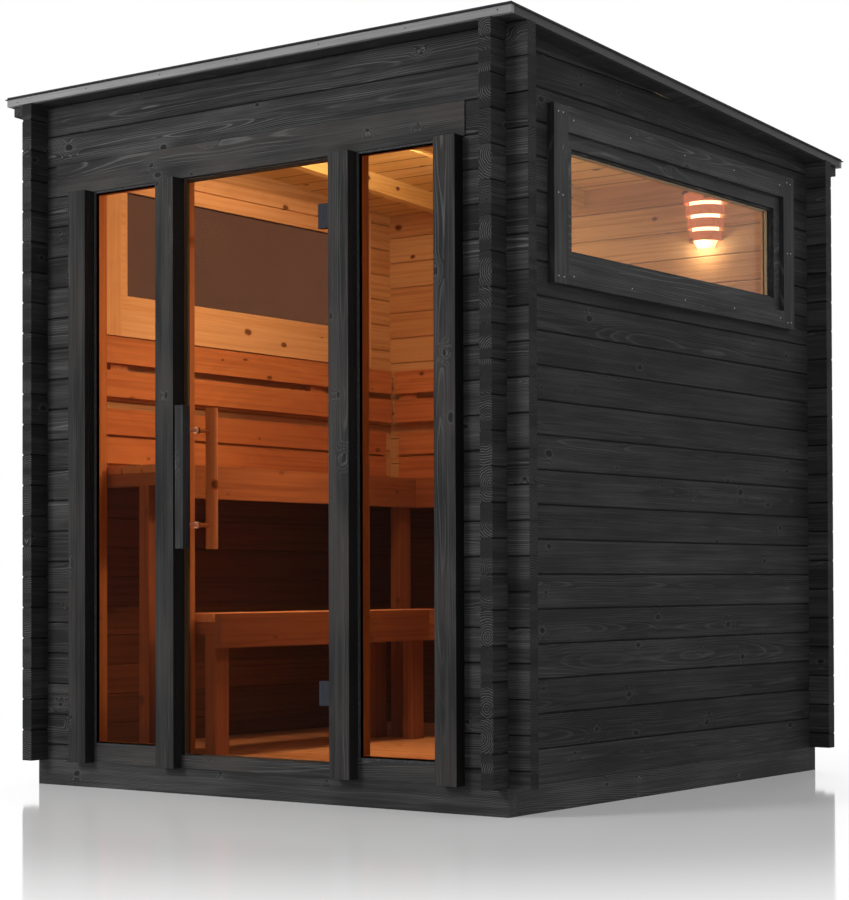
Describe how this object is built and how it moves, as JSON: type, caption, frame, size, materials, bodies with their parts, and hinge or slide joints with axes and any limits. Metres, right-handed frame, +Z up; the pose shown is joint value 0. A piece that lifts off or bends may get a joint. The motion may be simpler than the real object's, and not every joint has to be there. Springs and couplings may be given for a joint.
{
  "type": "outdoor sauna cabin",
  "caption": "Log sauna cabin with a roof falling to the back, a glazed front whose glass door swings outwards, a long high window in each side and benches on two levels.",
  "frame": {"origin": "on the ground, under the middle of the roof's outline", "axes": "+Z up, the glazed front faces -Y, +X to the right seen from the front"},
  "size_m": [2.184, 2.258, 2.4476],
  "materials": {
    "stained_log": "black-stained softwood logs, planed, knots and grain showing",
    "stained_trim": "black-stained softwood boards",
    "base_timber": "dark treated softwood",
    "floor_board": "bare softwood boards",
    "pale_wood": "bare planed spruce",
    "bench_wood": "bare heat-treated wood, smooth",
    "lamp_wood": "bare bent wood bands",
    "door_glass": "bronze-tinted toughened glass",
    "window_glass": "clear double glazing",
    "roof_sheet": "dark matt roof sheet",
    "hinge_steel": "brushed, grey",
    "handle_black": "black-stained square bar",
    "handle_wood": "bare round bar",
    "copper": "copper-coloured turned metal"
  },
  "bodies": {
    "cabin": {"base_front_beam": "base_timber", "base_back_beam": "base_timber", "base_left_beam": "base_timber", "base_right_beam": "base_timber", "floor_joists": "base_timber", "floor": "floor_board", "front_wall_left": "stained_log", "front_wall_right": "stained_log", "front_wall_top": "stained_log", "back_wall": "stained_log", "left_wall": "stained_log", "right_wall": "stained_log", "header_board": "stained_log", "left_jamb": "stained_log", "left_mullion": "stained_log", "right_mullion": "stained_log", "right_jamb": "stained_log", "side_light_rails": "stained_log", "door_sill": "stained_log", "left_side_light_glass": "door_glass", "right_side_light_glass": "door_glass", "right_window_frame": "stained_trim", "right_window_glass": "window_glass", "right_window_casing_stiles": "stained_trim", "right_window_casing_boards": "stained_trim", "right_window_lining": "pale_wood", "left_window_frame": "stained_trim", "left_window_glass": "window_glass", "left_window_casing_stiles": "stained_trim", "left_window_casing_boards": "stained_trim", "left_window_lining": "pale_wood", "roof_deck": "pale_wood", "fascia_ends": "stained_trim", "fascia_sides": "stained_trim", "roof_covering": "roof_sheet", "rafters": "pale_wood", "upper_bench_slats": "bench_wood", "upper_bench_front": "bench_wood", "upper_bench_bearers": "bench_wood", "upper_bench_legs": "bench_wood", "lower_bench_slats": "bench_wood", "lower_bench_front": "bench_wood", "lower_bench_bearers": "bench_wood", "lower_bench_legs": "bench_wood", "backrest_boards": "bench_wood", "backrest_battens": "bench_wood", "lamp_shade": "lamp_wood", "hinge_leaves": "hinge_steel"},
    "door": {"door_glass": "door_glass", "hinge_clamps": "hinge_steel", "outer_handle": "handle_black", "inner_handle": "handle_wood", "handle_standoffs": "copper"}
  },
  "joints": [
    {"name": "door_hinge", "type": "hinge", "parent": "cabin", "child": "door", "pos_m": [0.332, -1.032, 1.1], "axis": [0, 0, 1], "range_deg": [0, 90]}
  ]
}
